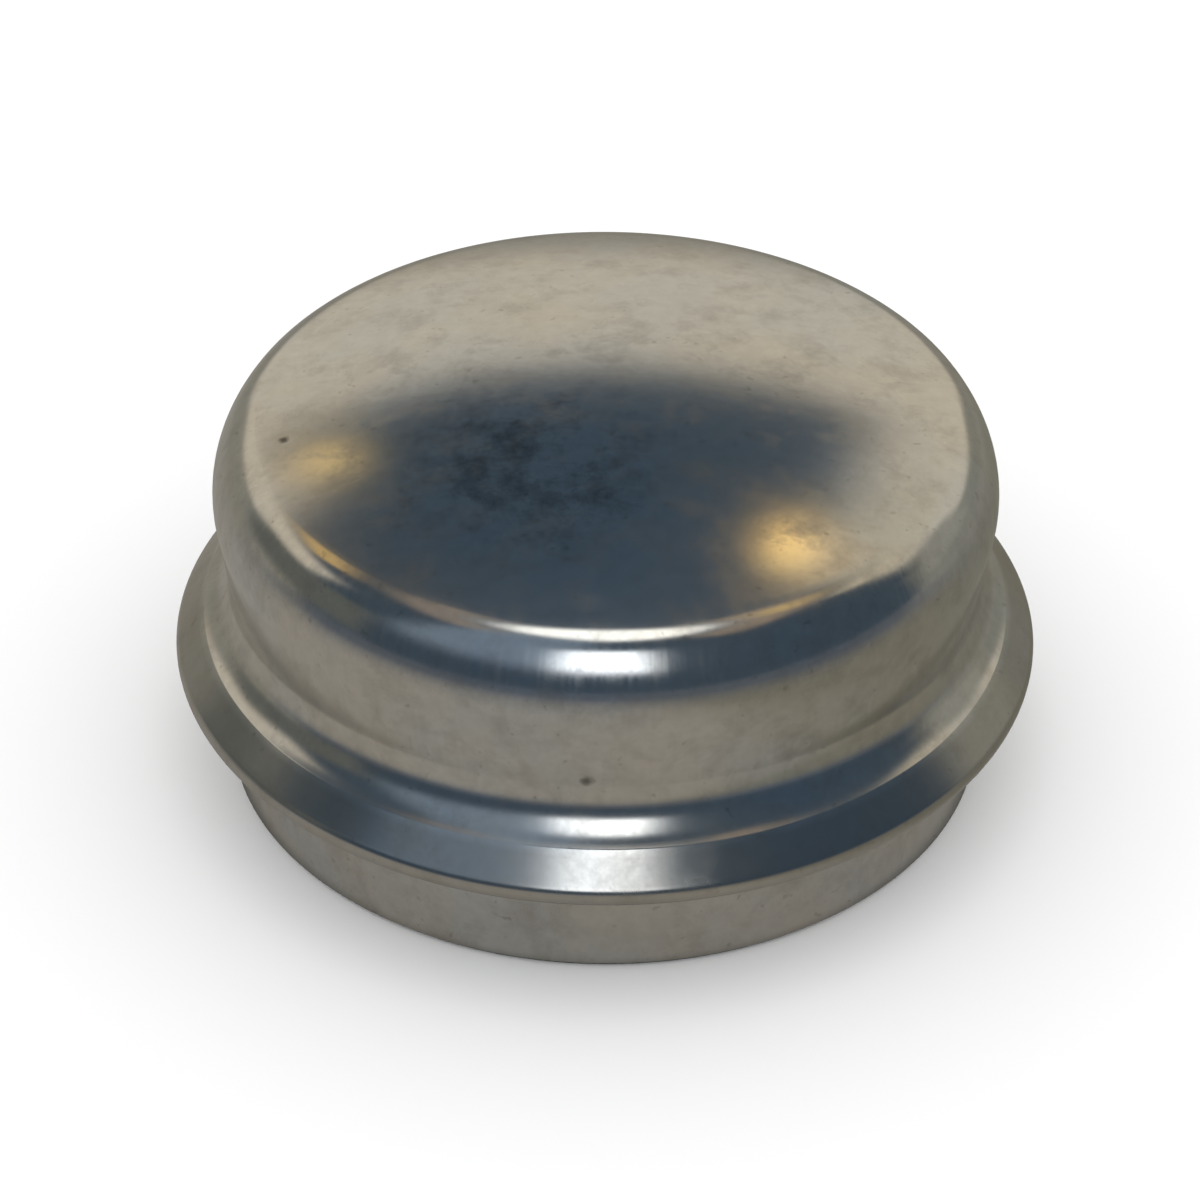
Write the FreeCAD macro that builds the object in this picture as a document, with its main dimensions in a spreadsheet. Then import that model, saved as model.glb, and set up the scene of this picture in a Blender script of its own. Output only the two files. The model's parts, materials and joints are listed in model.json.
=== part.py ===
"""Hub dust cap: one cup pressed from zinc plated sheet steel.

A domed crown rounds over a soft shoulder into a wall that draws in a little to a waist at its foot. From
there a cove sweeps the sheet out to a hollow bead with a sloping top, which stops the cap against the hub,
and the sheet ends in a short straight skirt that is driven into the hub's bore. The cap stands on the rim of
that skirt: the origin is the middle of the rim, +Z points from the rim to the crown, and sizes are in
millimetres.
"""

import FreeCAD
import Part
import Sketcher
from FreeCAD import Vector

import math
import os

SHEET = "Sizes"
NODE = "dust_cap"

# Driving dimensions, in millimetres and degrees. All are measured on the outside of the sheet.
SIZES = {
    "skirt_dia": (50.3, "outside of the skirt, the press fit in the hub"),
    "skirt_length": (7.6, "from the rim up to the seat under the bead"),
    "sheet_thickness": (0.8, "thickness of the pressed sheet"),
    "seat_fillet": (0.5, "hollow corner between skirt and seat"),
    "bead_overhang": (3.43, "how far the bead stands out from the skirt"),
    "edge_radius": (1.0, "round edge of the bead"),
    "crest_overhang": (0.83, "from the skirt out to the centre of the bend at the top of the bead's slope"),
    "crest_height": (2.65, "from the seat up to the centre of that bend"),
    "crest_radius": (1.0, "radius of that bend"),
    "cove_radius": (3.5, "hollow curve from the bead up into the wall"),
    "waist_inset": (0.32, "how far the waist at the foot of the wall lies inside the skirt"),
    "crown_swell": (0.835, "how far the shoulder stands out beyond the waist"),
    "cap_height": (28.1, "from the rim to the middle of the crown"),
    "shoulder_radius": (6.45, "slow curve from the wall into the crown's edge"),
    "shoulder_turn": (35.5, "angle over which that slow curve turns, from upright"),
    "corner_radius": (3.25, "tighter curve at the edge of the crown"),
    "dome_radius": (90.0, "shallow dome of the crown"),
    "lead_in": (0.45, "bevel that guides the skirt into the hub"),
    "rim_deburr": (0.15, "broken inner edge of the cut rim"),
}


def make_sheet(doc):
    """The spreadsheet that drives every size of the cap."""
    sheet = doc.addObject("Spreadsheet::Sheet", SHEET)
    for row, (alias, (value, words)) in enumerate(SIZES.items(), start=1):
        sheet.set(f"A{row}", words)
        sheet.set(f"B{row}", str(value))
        sheet.setAlias(f"B{row}", alias)
    doc.recompute()
    return sheet


def on_arc(centre, radius, degrees):
    """A point of the circle about centre; 0 degrees points outwards and 90 degrees up."""
    angle = math.radians(degrees)
    return centre + Vector(radius * math.cos(angle), radius * math.sin(angle), 0)


def arc(centre, radius, start, end):
    """An arc that runs anticlockwise from start to end, in degrees."""
    circle = Part.Circle(centre, Vector(0, 0, 1), radius)
    return Part.ArcOfCircle(circle, math.radians(start), math.radians(end))


def sheet_face(size, inset):
    """First positions of one face of the sheet's half section, from the rim round to the axis.

    x is the distance from the axis and y the height. The outside has no inset, and the inside runs parallel
    to it at the sheet's thickness: bends that bulge outwards lose the inset and hollow bends gain it.
    The sketch's constraints hold the sizes, and these positions start its solver on the right branch.
    """
    skirt = size.skirt_dia / 2
    foot = skirt - size.waist_inset
    seat_centre = Vector(skirt + size.seat_fillet, size.skirt_length - size.seat_fillet, 0)
    edge_centre = Vector(skirt + size.bead_overhang - size.edge_radius, size.skirt_length + size.edge_radius, 0)
    crest_centre = Vector(skirt + size.crest_overhang, size.skirt_length + size.crest_height, 0)
    seat_fillet = size.seat_fillet + inset
    edge = size.edge_radius - inset
    crest = size.crest_radius - inset
    cove = size.cove_radius + inset
    shoulder = size.shoulder_radius - inset
    corner = size.corner_radius - inset
    dome = size.dome_radius - inset

    # The bead's slope touches its edge and its crest, and the cove takes over from the crest at the crease.
    down = edge_centre - crest_centre
    slope = math.degrees(math.atan2(down.y, down.x) + math.acos((crest - edge) / down.Length))
    crease = math.degrees(math.acos((foot + size.cove_radius - crest_centre.x) / (crest + cove)))
    cove_centre = on_arc(crest_centre, crest + cove, crease)

    # The crown's edge, worked down from the top of the dome: its two arcs turn from the dome to the wall.
    turn = size.shoulder_turn
    shoulder_x = foot + size.crown_swell - size.shoulder_radius
    corner_x = shoulder_x + (shoulder - corner) * math.cos(math.radians(turn))
    dome_start = math.degrees(math.acos(corner_x / (dome - corner)))
    dome_centre = Vector(0, size.cap_height - size.dome_radius, 0)
    corner_centre = on_arc(dome_centre, dome - corner, dome_start)
    shoulder_centre = on_arc(corner_centre, shoulder - corner, turn + 180)

    # The wall touches the cove on one side and the shoulder on the other, so it leans a little.
    across = cove_centre - shoulder_centre
    reach = math.acos((cove + shoulder) / across.Length)
    lean = math.degrees(math.atan2(-across.y, across.x) - reach)
    wall_foot = on_arc(cove_centre, cove, 180 - lean)
    wall_head = on_arc(shoulder_centre, shoulder, -lean)
    skirt_head = on_arc(seat_centre, seat_fillet, 180)
    return {
        "skirt": Part.LineSegment(Vector(skirt_head.x, 0, 0), skirt_head),
        "seat_fillet": arc(seat_centre, seat_fillet, 90, 180),
        "seat": Part.LineSegment(on_arc(seat_centre, seat_fillet, 90), on_arc(edge_centre, edge, -90)),
        "edge": arc(edge_centre, edge, -90, slope),
        "slope": Part.LineSegment(on_arc(edge_centre, edge, slope), on_arc(crest_centre, crest, slope)),
        "crest": arc(crest_centre, crest, slope, crease),
        "cove": arc(cove_centre, cove, 180 - lean, 180 + crease),
        "wall": Part.LineSegment(wall_foot, wall_head),
        "shoulder": arc(shoulder_centre, shoulder, -lean, turn),
        "corner": arc(corner_centre, corner, turn, dome_start),
        "dome": arc(dome_centre, dome, dome_start, 90),
    }


# Ends of a sketch element, and the sketch's own origin and axes, as the sketcher numbers them.
START, END, CENTRE = 1, 2, 3
ORIGIN = (-1, 1)
RIM_LINE = -1
AXIS_LINE = -2


def tie(sketch, *words):
    """Adds one constraint between elements of the sketch."""
    return sketch.addConstraint(Sketcher.Constraint(*words))


def bind(sketch, name, expression, kind, *ends):
    """Adds one size to the sketch, at its drawn value, and binds it to the spreadsheet."""
    if kind == "Radius":
        drawn = sketch.Geometry[ends[0]].Radius
    else:
        span = sketch.getPoint(*ends[2:]) - sketch.getPoint(*ends[:2])
        drawn = span.x if kind == "DistanceX" else span.y
    sketch.renameConstraint(tie(sketch, kind, *ends, drawn), name)
    sketch.setExpression(f"Constraints.{name}", expression)


def join_face(sketch, at):
    """Ties the runs of one face of the sheet to each other and to the rim and the axis."""
    tie(sketch, "PointOnObject", at["skirt"], START, RIM_LINE)
    tie(sketch, "Vertical", at["skirt"])
    tie(sketch, "Tangent", at["skirt"], END, at["seat_fillet"], END)
    tie(sketch, "Tangent", at["seat_fillet"], START, at["seat"], START)
    tie(sketch, "Horizontal", at["seat"])
    tie(sketch, "Tangent", at["seat"], END, at["edge"], START)
    tie(sketch, "Tangent", at["edge"], END, at["slope"], START)
    tie(sketch, "Tangent", at["slope"], END, at["crest"], START)
    tie(sketch, "Tangent", at["crest"], END, at["cove"], END)
    tie(sketch, "Tangent", at["cove"], START, at["wall"], START)
    tie(sketch, "Tangent", at["wall"], END, at["shoulder"], START)
    tie(sketch, "Tangent", at["shoulder"], END, at["corner"], START)
    tie(sketch, "Tangent", at["corner"], END, at["dome"], START)
    tie(sketch, "PointOnObject", at["dome"], END, AXIS_LINE)
    tie(sketch, "PointOnObject", at["dome"], CENTRE, AXIS_LINE)


def size_face(sketch, side, at, inset):
    """Binds the sizes of one face of the sheet; inset is the expression for its depth in the sheet."""
    skirt = f"{SHEET}.skirt_dia / 2"
    foot = f"({skirt} - {SHEET}.waist_inset)"
    shoulder_x = f"{foot} + {SHEET}.crown_swell - {SHEET}.shoulder_radius"
    step = f"({SHEET}.shoulder_radius - {SHEET}.corner_radius)"
    corner_x = f"{shoulder_x} + {step} * cos({SHEET}.shoulder_turn * 1deg)"
    radii = {
        "seat_fillet": f"{SHEET}.seat_fillet + {inset}",
        "edge": f"{SHEET}.edge_radius - {inset}",
        "crest": f"{SHEET}.crest_radius - {inset}",
        "cove": f"{SHEET}.cove_radius + {inset}",
        "shoulder": f"{SHEET}.shoulder_radius - {inset}",
        "corner": f"{SHEET}.corner_radius - {inset}",
        "dome": f"{SHEET}.dome_radius - {inset}",
    }
    for name, expression in radii.items():
        bind(sketch, f"{side}_{name}_radius", expression, "Radius", at[name])
    places = {
        "edge": f"{skirt} + {SHEET}.bead_overhang - {SHEET}.edge_radius",
        "crest": f"{skirt} + {SHEET}.crest_overhang",
        "cove": f"{foot} + {SHEET}.cove_radius",
        "shoulder": shoulder_x,
        "corner": corner_x,
    }
    for name, expression in places.items():
        bind(sketch, f"{side}_{name}_x", expression, "DistanceX", *ORIGIN, at[name], CENTRE)
    skirt_x = f"{skirt} - {inset}"
    seat_height = f"{SHEET}.skirt_length + {inset}"
    crest_height = f"{SHEET}.skirt_length + {SHEET}.crest_height"
    crown_height = f"{SHEET}.cap_height - {inset}"
    bind(sketch, f"{side}_skirt_x", skirt_x, "DistanceX", *ORIGIN, at["skirt"], START)
    bind(sketch, f"{side}_seat_height", seat_height, "DistanceY", *ORIGIN, at["seat"], START)
    bind(sketch, f"{side}_crest_height", crest_height, "DistanceY", *ORIGIN, at["crest"], CENTRE)
    bind(sketch, f"{side}_crown_height", crown_height, "DistanceY", *ORIGIN, at["dome"], END)


def draw_section(body, size):
    """The sketch of the sheet's half section, on the upright plane through the axis."""
    sketch = body.newObject("Sketcher::SketchObject", "SheetSection")
    plane = next(feature for feature in body.Origin.OriginFeatures if feature.Role == "XZ_Plane")
    sketch.AttachmentSupport = [(plane, "")]
    sketch.MapMode = "FlatFace"

    depths = {"outer": (0.0, "0"), "inner": (size.sheet_thickness, f"{SHEET}.sheet_thickness")}
    sides = {}
    for side, (inset, expression) in depths.items():
        at = {}
        for name, element in sheet_face(size, inset).items():
            at[name] = sketch.addGeometry(element, False)
        join_face(sketch, at)
        size_face(sketch, side, at, expression)
        sides[side] = at

    # The cut rim joins the two faces at the bottom, and the axis joins them at the top.
    for name, end in (("skirt", START), ("dome", END)):
        outer, inner = sides["outer"][name], sides["inner"][name]
        ends = sketch.getPoint(outer, end), sketch.getPoint(inner, end)
        closing = sketch.addGeometry(Part.LineSegment(*ends), False)
        tie(sketch, "Coincident", closing, START, outer, end)
        tie(sketch, "Coincident", closing, END, inner, end)
    return sketch


def add_feature(body, kind, name, **settings):
    """Adds a feature to the body with its links and switches set."""
    feature = body.newObject(kind, name)
    for word, value in settings.items():
        setattr(feature, word, value)
    return feature


def rim_edge(shape, radius):
    """The name of the round edge of the given radius on the rim plane."""
    for number, edge in enumerate(shape.Edges, start=1):
        flat = edge.BoundBox.ZMax < 1e-3
        if flat and abs(edge.BoundBox.XMax - radius) < 1e-4:
            return f"Edge{number}"
    raise RuntimeError("the rim has no edge of that radius")


def press_cap(doc, size):
    """The body: the sheet's section turned about the axis, with the cut rim dressed."""
    body = doc.addObject("PartDesign::Body", "DustCap")
    body.Label = NODE
    section = draw_section(body, size)
    doc.recompute()

    shell = add_feature(body, "PartDesign::Revolution", "SheetShell", Profile=section, Angle=360.0)
    shell.ReferenceAxis = (section, ["V_Axis"])
    doc.recompute()

    outer = size.skirt_dia / 2
    bevel = add_feature(body, "PartDesign::Chamfer", "LeadIn")
    bevel.Base = (shell, [rim_edge(shell.Shape, outer)])
    bevel.setExpression("Size", f"{SHEET}.lead_in")
    doc.recompute()

    deburr = add_feature(body, "PartDesign::Fillet", "RimDeburr")
    deburr.Base = (bevel, [rim_edge(bevel.Shape, outer - size.sheet_thickness)])
    deburr.setExpression("Radius", f"{SHEET}.rim_deburr")
    body.Tip = deburr
    doc.recompute()
    return body


def check(doc, body):
    """Stops when an element failed, or when the cap is not one sound solid."""
    for thing in doc.Objects:
        if "Invalid" in thing.State or "Error" in thing.State:
            raise RuntimeError(f"{thing.Name} is in state {thing.State}")
    shape = body.Shape
    if shape.isNull() or not shape.isValid():
        raise RuntimeError("the cap has no valid shape")
    if len(shape.Solids) != 1 or shape.Volume <= 0:
        raise RuntimeError("the cap is not one solid")


def main():
    doc = FreeCAD.newDocument("HubDustCap")
    size = make_sheet(doc)
    body = press_cap(doc, size)
    check(doc, body)
    os.makedirs("parts", exist_ok=True)
    body.Shape.exportStep(f"parts/{NODE}.step")
    box = body.Shape.optimalBoundingBox()
    print(f"{NODE}: {box.XLength:.2f} x {box.YLength:.2f} x {box.ZLength:.2f} mm")
    print(f"{NODE}: {body.Shape.Volume / 1000:.3f} cubic centimetres of sheet")


main()
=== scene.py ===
# %% [markdown]
# # A pressed hub dust cap
#
# The cap is one cup of zinc plated sheet steel that closes the end of a wheel hub. This lesson draws its
# sheet from a short list of bends, turns that section about the axis, plates it with a finish made of nodes,
# and stands it in a small photo studio.

import json
import math

import bpy
from mathutils import Matrix, Vector, noise
from mathutils.bvhtree import BVHTree


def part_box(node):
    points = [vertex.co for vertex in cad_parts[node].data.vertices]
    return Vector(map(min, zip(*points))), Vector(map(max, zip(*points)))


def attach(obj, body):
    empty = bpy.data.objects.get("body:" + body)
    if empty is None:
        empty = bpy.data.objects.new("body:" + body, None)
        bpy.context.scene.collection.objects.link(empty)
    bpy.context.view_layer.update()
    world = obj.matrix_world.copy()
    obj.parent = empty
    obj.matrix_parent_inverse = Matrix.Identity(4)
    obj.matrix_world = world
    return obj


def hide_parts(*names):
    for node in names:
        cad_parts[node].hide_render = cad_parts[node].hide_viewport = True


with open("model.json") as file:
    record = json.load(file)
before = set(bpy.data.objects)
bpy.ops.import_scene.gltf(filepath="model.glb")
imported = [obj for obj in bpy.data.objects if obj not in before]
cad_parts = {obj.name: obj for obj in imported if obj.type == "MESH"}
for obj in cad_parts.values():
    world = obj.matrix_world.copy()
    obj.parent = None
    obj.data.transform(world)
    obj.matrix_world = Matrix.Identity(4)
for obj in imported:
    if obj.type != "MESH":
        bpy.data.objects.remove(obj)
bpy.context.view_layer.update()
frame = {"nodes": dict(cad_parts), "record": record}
node = frame["nodes"]["dust_cap"]

# %% [markdown]
# ## Sizes
#
# The frame already knows the sizes that matter to other parts: the box gives the bead's edge and the height
# of the crown, and the two mounts give the skirt's radius and the height of the seat under the bead. Only the
# radii of the bends are repeated here, in millimetres.

# %% Sizes of the sheet and its bends
MM = 0.001
lowest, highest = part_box("dust_cap")
mounts = {mount["name"]: mount for mount in frame["record"]["mounts"]}
skirt_radius = mounts["press_skirt"]["dims"]["r_mm"]
seat_height = mounts["bead_seat"]["pos_m"][2] / MM
bead_edge = (highest[0] - lowest[0]) / 2 / MM
cap_height = highest[2] / MM

SHEET_THICKNESS = 0.8
SEAT_FILLET = 0.5
BEAD_EDGE_RADIUS = 1.0
CREST_OVERHANG = 0.83
CREST_HEIGHT = 2.65
CREST_RADIUS = 1.0
COVE_RADIUS = 3.5
CRISP_RADIUS = 0.35
CRISP_TURN = 60.5
WAIST_INSET = 0.32
CROWN_SWELL = 0.835
SHOULDER_RADIUS = 6.45
SHOULDER_TURN = 35.5
CORNER_RADIUS = 3.25
DOME_RADIUS = 90.0
LEAD_IN = 0.45
RIM_DEBURR = 0.15
print(f"skirt {2 * skirt_radius:.2f}, bead {2 * bead_edge:.2f}, height {cap_height:.2f} mm")

# %% [markdown]
# ## The section of the sheet
#
# A press shop would draw this cap as a chain of bends. Each bend is an arc with a centre, a radius and two
# angles, and the straight runs are simply what lies between one bend's end and the next one's start. The
# inner face of the sheet is the same chain with the sheet's thickness taken from bends that bulge outwards
# and added to hollow ones, so the sheet keeps its thickness all the way round the rolled bead. Only the crest
# of the bead is struck to a crisper bend on its outside.

# %% Bends of one face, from the skirt up to the middle of the crown
def polar(centre, radius, degrees):
    angle = math.radians(degrees)
    return centre[0] + radius * math.cos(angle), centre[1] + radius * math.sin(angle)


def sheet_bends(inset, crisp):
    """(centre, radius, first angle, last angle) of each bend of a face that lies inset into the sheet.

    The outside of the crest is crisp: the die has struck it to a tighter bend than the sheet's inside.
    """
    foot = skirt_radius - WAIST_INSET
    edge = (bead_edge - BEAD_EDGE_RADIUS, seat_height + BEAD_EDGE_RADIUS)
    crest = (skirt_radius + CREST_OVERHANG, seat_height + CREST_HEIGHT)
    crest_radius = CREST_RADIUS
    crease = math.degrees(math.acos((foot + COVE_RADIUS - crest[0]) / (crest_radius + COVE_RADIUS)))
    cove = polar(crest, crest_radius + COVE_RADIUS, crease)
    if crisp:
        crest_radius, crease = CRISP_RADIUS, CRISP_TURN
        crest = polar(cove, crest_radius + COVE_RADIUS, 180 + crease)
    across, down = edge[0] - crest[0], crest[1] - edge[1]
    touch = math.acos((crest_radius - BEAD_EDGE_RADIUS) / math.hypot(across, down))
    slope = math.degrees(touch - math.atan2(down, across))
    seat = (skirt_radius + SEAT_FILLET, seat_height - SEAT_FILLET)

    step = SHOULDER_RADIUS - CORNER_RADIUS
    shoulder_x = foot + CROWN_SWELL - SHOULDER_RADIUS
    corner_x = shoulder_x + step * math.cos(math.radians(SHOULDER_TURN))
    dome = (0.0, cap_height - DOME_RADIUS)
    dome_start = math.degrees(math.acos(corner_x / (DOME_RADIUS - CORNER_RADIUS)))
    corner = polar(dome, DOME_RADIUS - CORNER_RADIUS, dome_start)
    shoulder = polar(corner, step, SHOULDER_TURN + 180)

    # The wall leans so that it touches the cove on one side and the shoulder on the other.
    across, up = cove[0] - shoulder[0], shoulder[1] - cove[1]
    reach = math.acos((COVE_RADIUS + SHOULDER_RADIUS) / math.hypot(across, up))
    lean = math.degrees(math.atan2(up, across) - reach)
    return [
        (seat, SEAT_FILLET + inset, 180, 90),
        (edge, BEAD_EDGE_RADIUS - inset, -90, slope),
        (crest, crest_radius - inset, slope, crease),
        (cove, COVE_RADIUS + inset, 180 + crease, 180 - lean),
        (shoulder, SHOULDER_RADIUS - inset, -lean, SHOULDER_TURN),
        (corner, CORNER_RADIUS - inset, SHOULDER_TURN, dome_start),
        (dome, DOME_RADIUS - inset, dome_start, 90),
    ]


print("bends from the seat to the crown:", len(sheet_bends(0.0, True)))

# %% [markdown]
# ## Points along a face
#
# The chain of bends becomes a row of points. Bends get a point every few degrees and straight runs one every
# few tenths of a millimetre, closer on the outside, where the reflections are seen, than on the inside.

# %% Points of both faces
OUTER_SPACING, OUTER_TURN = 0.45, 4.0
INNER_SPACING, INNER_TURN = 0.9, 7.5
FEWEST_STEPS = 4


def run_between(first, last, spacing):
    """Points on the straight run between two bends, without its ends."""
    length = math.dist(first, last)
    count = int(length / spacing)
    return [
        tuple(a + (b - a) * (k / (count + 1)) for a, b in zip(first, last))
        for k in range(1, count + 1)
    ]


def sample_face(start, inset, spacing, turn_step):
    """Points of one face from the rim to the axis: bends every few degrees, runs every few tenths."""
    points = [start]
    for centre, radius, first, last in sheet_bends(inset, inset == 0):
        turn = abs(last - first)
        steps = max(FEWEST_STEPS, int(turn / turn_step), int(math.radians(turn) * radius / spacing))
        arc = [polar(centre, radius, first + (last - first) * k / steps) for k in range(steps + 1)]
        points += run_between(points[-1], arc[0], spacing)
        points += arc if math.dist(points[-1], arc[0]) > 1e-6 else arc[1:]
    return points


outer_face = [(skirt_radius - LEAD_IN, 0.0)]
outer_face += sample_face((skirt_radius, LEAD_IN), 0.0, OUTER_SPACING, OUTER_TURN)
inner_radius = skirt_radius - SHEET_THICKNESS
inner_face = [(inner_radius + RIM_DEBURR, 0.0)]
inner_face += sample_face((inner_radius, RIM_DEBURR), SHEET_THICKNESS, INNER_SPACING, INNER_TURN)
print(f"outer face {len(outer_face)} points, inner face {len(inner_face)} points")

# %% [markdown]
# ## Press marks
#
# Sheet that has been through a press is never perfectly round, so the outer face carries a ripple of about a
# hundredth of a millimetre, always inwards. It is too small to see in the outline and is what makes the
# reflections look drawn and not computed. It dies out towards the middle of the crown. Two pits go in at the
# same time.

# %% Ripple and pits
RIPPLE = 0.012
CALM_MIDDLE = 14
CROWN_DEPTH = 4
PITS = (
    # where it is, turn from the front in degrees, height or distance from the axis, radius, depth
    ("wall", -2.4, 15.0, 0.45, 0.05),
    ("crown", -81.0, 20.9, 0.35, 0.03),
)


def ripple_at(angle, path):
    """Depth of the press marks: broad swells of the sheet and finer lines along the draw."""
    around = Vector((math.cos(angle), math.sin(angle), 0)) * 2.2
    broad = noise.noise(around + Vector((0, 0, path * 0.11)))
    lines = noise.noise(around * 9 + Vector((7, 3, path * 0.04)))
    return RIPPLE * (0.75 * (broad + 1) / 2 + 0.25 * (lines + 1) / 2)


def pit_at(angle, radius, height):
    """Depth of the small pits near a point of the outer face."""
    depth = 0.0
    for place, turn, where, size, deep in PITS:
        middle = math.radians(turn - 90)
        if place == "wall":
            away = math.hypot((angle - middle) * radius, height - where)
            near = height > seat_height + CREST_HEIGHT + CREST_RADIUS
        else:
            x, y = where * math.cos(middle), where * math.sin(middle)
            away = math.hypot(radius * math.cos(angle) - x, radius * math.sin(angle) - y)
            near = height > cap_height - CROWN_DEPTH
        if near and away < 2 * size:
            depth += deep * math.exp(-((away / size) ** 2) * 2)
    return depth


pit_depths = [deep for *_, deep in PITS]
print(f"ripple {RIPPLE} mm deep at most, pits {pit_depths} mm deep")

# %% [markdown]
# ## Turning the sheet
#
# The section is turned into one closed mesh: the outer face up, over the middle of the crown, and back down
# the inner face to the cut rim. The mesh starts and ends behind the cap.

# %% Turn the section into the shell
SEGMENTS = 344
SEAM = -1.5 * math.pi
SHARP_ANGLE = 30


def turn_shell(name):
    """The closed mesh of the sheet, with the draw direction kept as an attribute for the finish."""
    vertices, draw = [], []
    path = 0.0
    rings = []
    faces = [(outer_face, True), (list(reversed(inner_face)), False)]
    for points, outside in faces:
        for k, (radius, height) in enumerate(points):
            if k:
                path += math.dist(points[k - 1], points[k])
            if radius < 1e-6:
                rings.append([len(vertices)])
                vertices.append((0, 0, (height - (RIPPLE / 2 if outside else 0)) * MM))
                draw.append((0, 0, path))
                continue
            ring = []
            before, after = points[max(k - 1, 0)], points[min(k + 1, len(points) - 1)]
            along = Vector((after[0] - before[0], after[1] - before[1])).normalized()
            inwards = Vector((-along.y, along.x))
            for j in range(SEGMENTS):
                angle = 2 * math.pi * j / SEGMENTS + SEAM
                depth = 0.0
                if outside and height > LEAD_IN:
                    fade = min(1.0, radius / CALM_MIDDLE) ** 2
                    depth = ripple_at(angle, path) * fade + RIPPLE / 2 * (1 - fade)
                    depth += pit_at(angle, radius, height)
                r, z = radius + inwards.x * depth, height + inwards.y * depth
                ring.append(len(vertices))
                vertices.append((r * math.cos(angle) * MM, r * math.sin(angle) * MM, z * MM))
                draw.append((math.cos(angle) * skirt_radius, math.sin(angle) * skirt_radius, path))
            rings.append(ring)
    polygons = []
    for lower, upper in zip(rings, rings[1:] + rings[:1]):
        for j in range(SEGMENTS):
            following = (j + 1) % SEGMENTS
            quad = ((lower, j), (lower, following), (upper, following), (upper, j))
            corners = list(dict.fromkeys(ring[place % len(ring)] for ring, place in quad))
            if len(corners) > 2:
                polygons.append(corners)
    mesh = bpy.data.meshes.new(name)
    mesh.from_pydata(vertices, [], polygons)
    attribute = mesh.attributes.new("draw", "FLOAT_VECTOR", "POINT")
    attribute.data.foreach_set("vector", [value for triple in draw for value in triple])
    mesh.shade_smooth()
    mesh.set_sharp_from_angle(angle=math.radians(SHARP_ANGLE))
    mesh.validate()
    return mesh


shell = bpy.data.objects.new("pressed_cap", turn_shell("pressed_cap"))
bpy.context.scene.collection.objects.link(shell)
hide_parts("dust_cap")
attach(shell, "root")
corners = [len(polygon.vertices) for polygon in shell.data.polygons]
print(f"pressed_cap: {len(shell.data.vertices)} points, {sum(corners) - 2 * len(corners)} triangles")

# %% [markdown]
# ## Against the frame's part
#
# The shell stands in for a solid that other parts rely on, so its points are measured against that solid.
# They differ only by the ripple, the pits and the crisper crest of the bead.

# %% How far the shell is from the frame's part
cad_mesh = node.data
tree = BVHTree.FromPolygons(
    [vertex.co for vertex in cad_mesh.vertices], [polygon.vertices for polygon in cad_mesh.polygons]
)
misses = [tree.find_nearest(vertex.co)[3] / MM for vertex in shell.data.vertices]
print(f"shell to part: mean {sum(misses) / len(misses):.4f} mm, most {max(misses):.4f} mm")

# %% [markdown]
# ## Zinc plate
#
# Bright zinc is a metal finish with a soft gloss. A node tree makes its finish out of noises, each mapped to
# a range. These helpers add one node each and link it, so that the tree itself reads as a recipe.

# %% Helpers for node trees
def add_node(tree, kind, values=(), **settings):
    made = tree.nodes.new(kind)
    for word, value in settings.items():
        setattr(made, word, value)
    for socket, value in dict(values).items():
        made.inputs[socket].default_value = value
    return made


def noise_node(tree, vector, scale, detail=3.0, roughness=0.5, distortion=0.0):
    made = add_node(
        tree, "ShaderNodeTexNoise",
        {"Scale": scale, "Detail": detail, "Roughness": roughness, "Distortion": distortion},
    )
    tree.links.new(vector, made.inputs["Vector"])
    return made.outputs["Fac"]


def ramp_node(tree, factor, *stops):
    made = add_node(tree, "ShaderNodeValToRGB")
    elements = made.color_ramp.elements
    while len(elements) < len(stops):
        elements.new(0.5)
    for element, (place, colour) in zip(elements, stops):
        element.position = place
        element.color = (*colour, 1.0)
    tree.links.new(factor, made.inputs["Fac"])
    return made.outputs["Color"]


def mix_colours(tree, factor, first, second):
    made = add_node(tree, "ShaderNodeMix", data_type="RGBA")
    for socket, value in ((made.inputs["Factor"], factor), (made.inputs[6], first), (made.inputs[7], second)):
        if isinstance(value, bpy.types.NodeSocket):
            tree.links.new(value, socket)
        else:
            socket.default_value = value
    return made.outputs[2]


def map_range(tree, value, low, high, out_low, out_high):
    made = add_node(
        tree, "ShaderNodeMapRange",
        {"From Min": low, "From Max": high, "To Min": out_low, "To Max": out_high},
    )
    tree.links.new(value, made.inputs["Value"])
    return made.outputs["Result"]


def math_node(tree, operation, first, second):
    made = add_node(tree, "ShaderNodeMath", operation=operation)
    for socket, value in zip(made.inputs, (first, second)):
        if isinstance(value, bpy.types.NodeSocket):
            tree.links.new(value, socket)
        else:
            socket.default_value = value
    return made.outputs[0]
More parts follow.
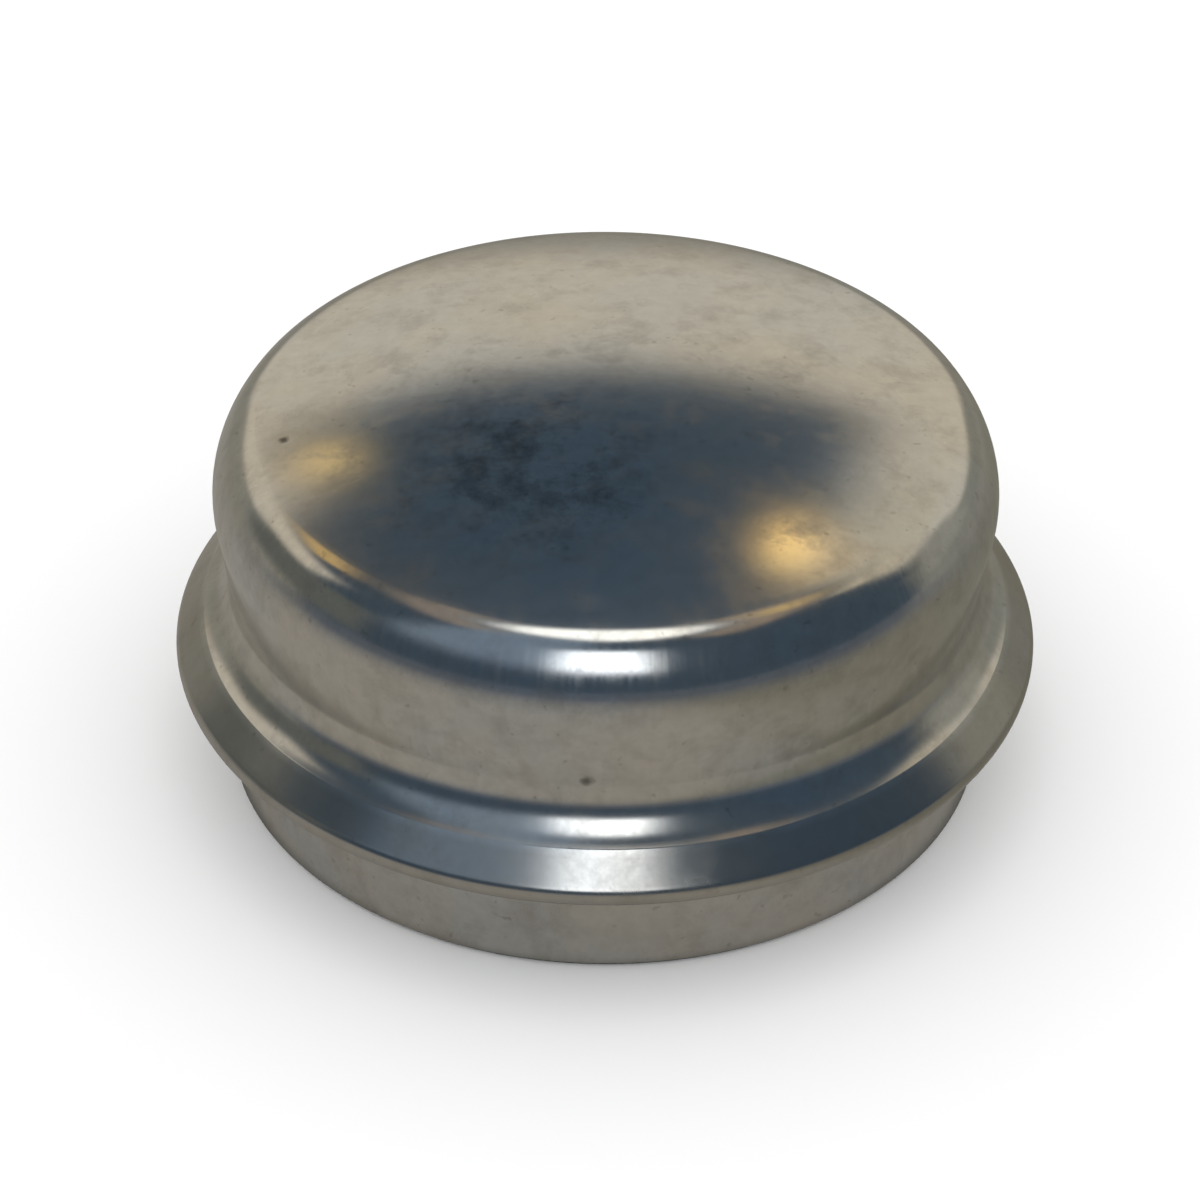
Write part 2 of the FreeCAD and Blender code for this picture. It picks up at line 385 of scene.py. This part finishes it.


# %% [markdown]
# ## The recipe of the plate
#
# On a real cap the colour drifts from cool grey to straw where the passivation is thicker. The drawing die
# leaves fine lines that run up the wall, handling leaves dull patches and specks, the middle of the crown is
# clouded, the bead carries painted shade, and the fitting tool dulls the bead. The tree makes each of those
# as one small group of nodes, with the fine grain of the plate as bump. Levels are heights above the rim, in
# metres.

# %% The zinc plate's node tree
COOL_ZINC = (0.74, 0.765, 0.785)
WARM_ZINC = (0.785, 0.765, 0.725)
TARNISH = (0.42, 0.40, 0.37)
STAIN = (0.10, 0.09, 0.08)
SMOKE = (0.14, 0.137, 0.135)
CROWN_CLOUD = (-0.0048, -0.0085, 0.0276)
CLOUD_SIZE = 0.008
# How far painted shade darkens the bead's plate.
BEAD_SHADE = 0.45
CROWN_EDGE_LEVELS = (0.0235, 0.0255)
WALL_FOOT_LEVELS = (0.0125, 0.0155)
SEAT_LEVELS = (0.0076, 0.0082)
CREASE_LEVELS = (0.0106, 0.0110)
STRUCK_LEVELS = (0.0105, 0.0135)
CROWN_PIT_DROP = 2.6


def scaled(tree, vector, x, y, z):
    made = add_node(tree, "ShaderNodeVectorMath", operation="MULTIPLY")
    tree.links.new(vector, made.inputs[0])
    made.inputs[1].default_value = (x, y, z)
    return made.outputs["Vector"]


def stained_spots():
    """Middle and size of the dark spot that sits in each pit."""
    for place, turn, where, size, _ in PITS:
        middle = math.radians(turn - 90)
        on_wall = place == "wall"
        radius, height = (skirt_radius, where) if on_wall else (where, cap_height - CROWN_PIT_DROP)
        yield (radius * math.cos(middle) * MM, radius * math.sin(middle) * MM, height * MM), size * MM


def near_point(tree, place, point, size):
    """1 at a point of the cap, falling to 0 at an uneven edge."""
    away = add_node(tree, "ShaderNodeVectorMath", operation="DISTANCE")
    tree.links.new(place, away.inputs[0])
    away.inputs[1].default_value = point
    uneven = map_range(tree, noise_node(tree, place, 1800.0, 2.0), 0.0, 1.0, -0.5 * size, 0.5 * size)
    edge = math_node(tree, "ADD", away.outputs["Value"], uneven)
    return map_range(tree, edge, 0.5 * size, 1.3 * size, 0.85, 0.0)


def zinc_plate():
    material = bpy.data.materials.new("zinc_plate")
    material.use_nodes = True
    tree = material.node_tree
    tree.nodes.clear()
    place = add_node(tree, "ShaderNodeTexCoord").outputs["Object"]
    draw = add_node(tree, "ShaderNodeAttribute", attribute_name="draw").outputs["Vector"]

    # Colour drifts over about a centimetre, and finer mottling breaks it up.
    drift = noise_node(tree, place, 95.0, 3.0)
    mottle = noise_node(tree, place, 900.0, 5.0, 0.65)
    plate = ramp_node(tree, drift, (0.38, COOL_ZINC), (0.62, WARM_ZINC))
    plate = mix_colours(tree, map_range(tree, mottle, 0.3, 0.7, 0.0, 0.22), plate, (*TARNISH, 1.0))

    # Lines along the draw: close together round the cap and long up the wall.
    lines = noise_node(tree, scaled(tree, draw, 1.0, 1.0, 0.05), 3.2, 2.0)
    level = add_node(tree, "ShaderNodeSeparateXYZ")
    tree.links.new(place, level.inputs["Vector"])
    height = level.outputs["Z"]
    below_crown = map_range(tree, height, *CROWN_EDGE_LEVELS, 1.0, 0.0)
    above_cove = map_range(tree, height, *WALL_FOOT_LEVELS, 0.1, 1.0)
    on_wall = math_node(tree, "MULTIPLY", below_crown, above_cove)
    lines = math_node(tree, "MULTIPLY", math_node(tree, "SUBTRACT", lines, 0.5), on_wall)

    # Tarnish sits in patches and in scattered specks.
    patches = noise_node(tree, place, 340.0, 7.0, 0.68, 0.15)
    specks = noise_node(tree, place, 1500.0, 1.0)
    dull = map_range(tree, patches, 0.48, 0.78, 0.0, 0.5)
    spotted = math_node(tree, "ADD", dull, map_range(tree, specks, 0.70, 0.78, 0.0, 0.4))
    colour = mix_colours(tree, spotted, plate, (*TARNISH, 1.0))

    # Smoky clouds darken the middle of the crown, and a dark stain fills each pit.
    clouds = noise_node(tree, place, 300.0, 6.0, 0.7)
    smoky = map_range(tree, clouds, 0.44, 0.66, 0.0, 0.8)
    smoky = math_node(tree, "MULTIPLY", smoky, near_point(tree, place, CROWN_CLOUD, CLOUD_SIZE))
    colour = mix_colours(tree, smoky, colour, (*SMOKE, 1.0))
    for spot, size in stained_spots():
        colour = mix_colours(tree, near_point(tree, place, spot, size), colour, (*STAIN, 1.0))

    # Painted shade: the bead's plate is darkened, which dims its reflections. The bead is also duller than
    # the rest, because the fitting tool strikes it.
    above_seat = map_range(tree, height, *SEAT_LEVELS, 0.0, 1.0)
    below_crease = map_range(tree, height, *CREASE_LEVELS, BEAD_SHADE, 0.0)
    bead_shade = math_node(tree, "MULTIPLY", above_seat, below_crease)
    colour = mix_colours(tree, bead_shade, colour, (*TARNISH, 1.0))
    struck = map_range(tree, height, *STRUCK_LEVELS, 0.05, 0.0)

    # The gloss changes with the lines, the dull patches and the wear.
    rough = map_range(tree, lines, -0.2, 0.2, 0.12, 0.20)
    rough = math_node(tree, "ADD", rough, map_range(tree, dull, 0.0, 1.0, 0.0, 0.2))
    rough = math_node(tree, "ADD", rough, struck)

    grain = noise_node(tree, place, 2600.0, 2.0)
    relief = math_node(tree, "ADD", lines, math_node(tree, "MULTIPLY", grain, 0.5))
    bump = add_node(tree, "ShaderNodeBump", {"Strength": 0.05, "Distance": 0.00003})
    tree.links.new(relief, bump.inputs["Height"])

    shader = add_node(tree, "ShaderNodeBsdfPrincipled", {"Metallic": 1.0})
    tree.links.new(colour, shader.inputs["Base Color"])
    tree.links.new(rough, shader.inputs["Roughness"])
    tree.links.new(bump.outputs["Normal"], shader.inputs["Normal"])
    output = add_node(tree, "ShaderNodeOutputMaterial")
    tree.links.new(shader.outputs["BSDF"], output.inputs["Surface"])
    return material


shell.data.materials.append(zinc_plate())
print("zinc_plate:", len(shell.data.materials[0].node_tree.nodes), "nodes")

# %% [markdown]
# ## The studio
#
# A glossy part shows its surroundings more than itself, so the studio is a light tent: a dome about the cap,
# painted with soft patches of light and shade. Each patch lies between two bearings and two heights and
# fades out at its edges. Bearings are counted from straight behind the cap, to the right, in degrees. The
# tent is seen only in the plate: the camera looks through it at a white floor in a white room.

# %% Paint the light tent
TENT_RADIUS = 0.7
TENT_STEP = 2
TENT_FOOT, TENT_TOP = -4, 90
PLATE_SHINE = 0.76


def as_seen(red, green, blue):
    """The light that looks like this screen colour once the plate has reflected it."""
    def linear(value):
        share = value / 255
        return share / 12.92 if share <= 0.04045 else ((share + 0.055) / 1.055) ** 2.4
    return tuple(linear(value) / PLATE_SHINE for value in (red, green, blue))


SHADE = as_seen(54, 66, 77)
PATCHES = (
    # what it is, bearings, heights, fade, colour in the plate, strength
    ("low haze behind", (-86, 80), (-40, 14), 12, (122, 119, 110), 1.0),
    ("bright sweep behind", (-86, 80), (9, 43), 8, (180, 172, 157), 1.0),
    ("dim corner left", (-92, -30), (-12, 19), 6, (124, 122, 113), 1.0),
    ("dim corner right", (29, 88), (-12, 19), 6, (118, 117, 108), 1.0),
    ("bright side right", (25, 78), (38, 57), 7, (174, 165, 146), 1.0),
    ("dim gap right", (58, 82), (4, 33), 7, (134, 131, 120), 1.0),
    ("dark gap left", (-112, -63), (2, 27), 10, (86, 88, 84), 1.0),
    ("dark doorway behind", (-27, 22), (33, 66), 5, (52, 66, 78), 1.0),
    ("warm band left", (-130, -30), (62, 72), 6, (126, 116, 106), 1.0),
    ("warm band right", (30, 130), (62, 72), 6, (134, 120, 104), 1.0),
    ("gold streak left", (-62, -36), (46.5, 54), 5, (192, 162, 106), 1.0),
    ("gold streak right", (42, 74), (62, 69), 5, (188, 160, 108), 1.0),
    ("ceiling light", (-180, 180), (77, 100), 6, (252, 248, 238), 1.25),
    ("cool wall left", (-172, -118), (22, 78), 16, (104, 116, 128), 1.0),
    ("camera light", (167, 193), (22, 54), 9, (248, 252, 255), 1.65),
    ("lamp left", (-26, -22), (36.5, 41.5), 2, (208, 180, 120), 1.6),
    ("lamp right", (20.5, 26), (51.5, 56.5), 2, (232, 192, 118), 2.2),
)


def step_up(value, start, end):
    share = max(0.0, min(1.0, (value - start) / (end - start)))
    return share * share * (3 - 2 * share)


def inside(value, limits, fade):
    """1 between the limits, 0 outside them, and a soft step at each."""
    low, high = limits
    risen = step_up(value, low - fade / 2, low + fade / 2)
    fallen = step_up(value, high - fade / 2, high + fade / 2)
    return risen * (1 - fallen)


def tent_colour(bearing, rise):
    """The tent's light in one direction: each patch in turn is laid over the shade."""
    colour = Vector(SHADE)
    for _, bearings, heights, fade, seen, strength in PATCHES:
        turned = bearing if bearing >= bearings[0] - fade else bearing + 360
        full_turn = bearings[1] - bearings[0] >= 360
        weight = inside(rise, heights, fade) * (1.0 if full_turn else inside(turned, bearings, fade))
        colour = colour.lerp(Vector(as_seen(*seen)) * strength, weight)
    return colour


def light_tent():
    vertices, colours, polygons = [], [], []
    rises = range(TENT_FOOT, TENT_TOP + 1, TENT_STEP)
    bearings = range(-180, 180, TENT_STEP)
    for rise in rises:
        for bearing in bearings:
            around, up = math.radians(bearing), math.radians(rise)
            flat = TENT_RADIUS * math.cos(up)
            vertices.append((flat * math.sin(around), flat * math.cos(around), TENT_RADIUS * math.sin(up)))
            colours += [*tent_colour(bearing, rise), 1.0]
    count = len(bearings)
    for row in range(len(rises) - 1):
        for column in range(count):
            following = (column + 1) % count
            polygons.append((
                row * count + column, row * count + following,
                (row + 1) * count + following, (row + 1) * count + column,
            ))
    mesh = bpy.data.meshes.new("light_tent")
    mesh.from_pydata(vertices, [], polygons)
    mesh.shade_smooth()
    mesh.attributes.new("light", "FLOAT_COLOR", "POINT").data.foreach_set("color", colours)
    tent = bpy.data.objects.new("light_tent", mesh)
    bpy.context.scene.collection.objects.link(tent)
    material = bpy.data.materials.new("light_tent")
    material.use_nodes = True
    tree = material.node_tree
    tree.nodes.clear()
    light = add_node(tree, "ShaderNodeAttribute", attribute_name="light").outputs["Color"]
    emission = add_node(tree, "ShaderNodeEmission")
    tree.links.new(light, emission.inputs["Color"])
    tree.links.new(emission.outputs["Emission"], add_node(tree, "ShaderNodeOutputMaterial").inputs["Surface"])
    mesh.materials.append(material)
    for sight in ("visible_camera", "visible_diffuse", "visible_shadow"):
        setattr(tent, sight, False)
    return tent


tent = light_tent()
print(f"light_tent: {len(PATCHES)} patches on {len(tent.data.polygons)} cells")

# %% [markdown]
# ## Floor and room
#
# The floor is white card. The camera sees it as white with the cap's soft shadow. In the plate it glows as a
# painted reflection of a taupe table near the cap, lighter on the left than on the right, with painted shade
# that falls off towards the camera, because that is what darkens the lower edge of the crown, and painted
# shadow near the cap and under its rim.

# %% Floor and room
FLOOR_SIZE = 6.0
ROOM_LIGHT = 1.15
# Stretches over which the floor, as the plate shows it, goes from one tone to the next, in metres: painted
# shadow under the rim, painted shade near the cap, and the falloff further out.
RIM_SHADE = (0.0248, 0.0262)
NEAR_SHADE = (0.0265, 0.0365)
FAR_SHADE = (0.06, 0.15)
FRONT_TO_BACK = (-0.04, 0.05)
LEFT_TO_RIGHT = (0.012, 0.036)
# Tones of the painted reflection of the table, with its painted shade and painted shadow near the cap.
LEFT_FLOOR = as_seen(135, 131, 123)
RIGHT_FLOOR = as_seen(112, 109, 98)
FRONT_FLOOR = as_seen(78, 84, 92)
BACK_FLOOR = as_seen(124, 121, 112)
NEAR_SHADE_TONE = as_seen(120, 117, 111)
RIM_SHADOW_TONE = as_seen(34, 34, 34)


def white_floor():
    bpy.ops.mesh.primitive_plane_add(size=FLOOR_SIZE)
    floor = bpy.context.object
    floor.name = "floor"
    material = bpy.data.materials.new("floor")
    material.use_nodes = True
    tree = material.node_tree
    tree.nodes.clear()
    place = add_node(tree, "ShaderNodeTexCoord").outputs["Object"]
    apart = add_node(tree, "ShaderNodeVectorMath", operation="LENGTH")
    tree.links.new(place, apart.inputs[0])
    split = add_node(tree, "ShaderNodeSeparateXYZ")
    tree.links.new(place, split.inputs["Vector"])
    far = map_range(tree, apart.outputs["Value"], *FAR_SHADE, 0.0, 1.0)
    behind = map_range(tree, split.outputs["Y"], *FRONT_TO_BACK, 0.0, 1.0)
    distant = mix_colours(tree, behind, (*FRONT_FLOOR, 1.0), (*BACK_FLOOR, 1.0))
    rightwards = map_range(tree, split.outputs["X"], *LEFT_TO_RIGHT, 0.0, 1.0)
    close = mix_colours(tree, rightwards, (*LEFT_FLOOR, 1.0), (*RIGHT_FLOOR, 1.0))
    seen = mix_colours(tree, far, close, distant)
    # Painted shade near the cap, then a painted shadow just under the rim.
    past_near_shade = map_range(tree, apart.outputs["Value"], *NEAR_SHADE, 0.0, 1.0)
    seen = mix_colours(tree, past_near_shade, (*NEAR_SHADE_TONE, 1.0), seen)
    past_rim_shadow = map_range(tree, apart.outputs["Value"], *RIM_SHADE, 0.0, 1.0)
    seen = mix_colours(tree, past_rim_shadow, (*RIM_SHADOW_TONE, 1.0), seen)
    glow = add_node(tree, "ShaderNodeEmission")
    tree.links.new(seen, glow.inputs["Color"])
    card = add_node(tree, "ShaderNodeBsdfDiffuse", {"Color": (0.96, 0.96, 0.96, 1.0)})
    either = add_node(tree, "ShaderNodeMixShader")
    tree.links.new(add_node(tree, "ShaderNodeLightPath").outputs["Is Glossy Ray"], either.inputs["Fac"])
    tree.links.new(card.outputs["BSDF"], either.inputs[1])
    tree.links.new(glow.outputs["Emission"], either.inputs[2])
    tree.links.new(either.outputs["Shader"], add_node(tree, "ShaderNodeOutputMaterial").inputs["Surface"])
    floor.data.materials.append(material)
    return floor


def white_room():
    world = bpy.data.worlds.new("room")
    world.use_nodes = True
    tree = world.node_tree
    tree.nodes.clear()
    room = add_node(tree, "ShaderNodeBackground", {"Color": (1.0, 1.0, 1.0, 1.0), "Strength": ROOM_LIGHT})
    tree.links.new(room.outputs["Background"], add_node(tree, "ShaderNodeOutputWorld").inputs["Surface"])
    bpy.context.scene.world = world


white_floor()
white_room()
print("floor and room are in place")

# %% [markdown]
# ## Camera
#
# The picture looks down on the cap from the height of a person at a bench, with a long lens from
# close by, so the rim is a little smaller than the crown. The picture leans by a third of a degree.

# %% Camera
CAMERA_DISTANCE = 0.310
CAMERA_RISE = 37.885
AIM = Vector((-0.00034, 0.0, 0.0106))
PICTURE_PIXELS = 1200
FOCAL_PIXELS = 4556.8
SENSOR_WIDTH = 36.0
LEAN = 0.32


def set_camera():
    camera = bpy.data.objects.new("camera", bpy.data.cameras.new("camera"))
    bpy.context.scene.collection.objects.link(camera)
    rise = math.radians(CAMERA_RISE)
    camera.location = Vector((AIM.x, -math.cos(rise) * CAMERA_DISTANCE, math.sin(rise) * CAMERA_DISTANCE))
    turn = (AIM - camera.location).to_track_quat("-Z", "Y")
    camera.rotation_euler = (turn.to_matrix() @ Matrix.Rotation(math.radians(LEAN), 3, "Z")).to_euler()
    camera.data.sensor_width = SENSOR_WIDTH
    camera.data.lens = SENSOR_WIDTH / (PICTURE_PIXELS / FOCAL_PIXELS)
    camera.data.clip_start = 0.01
    bpy.context.scene.camera = camera
    return camera


camera = set_camera()
bpy.context.scene.view_settings.view_transform = "Standard"
print(f"camera: {camera.data.lens:.1f} mm lens at {CAMERA_DISTANCE * 1000:.0f} mm")
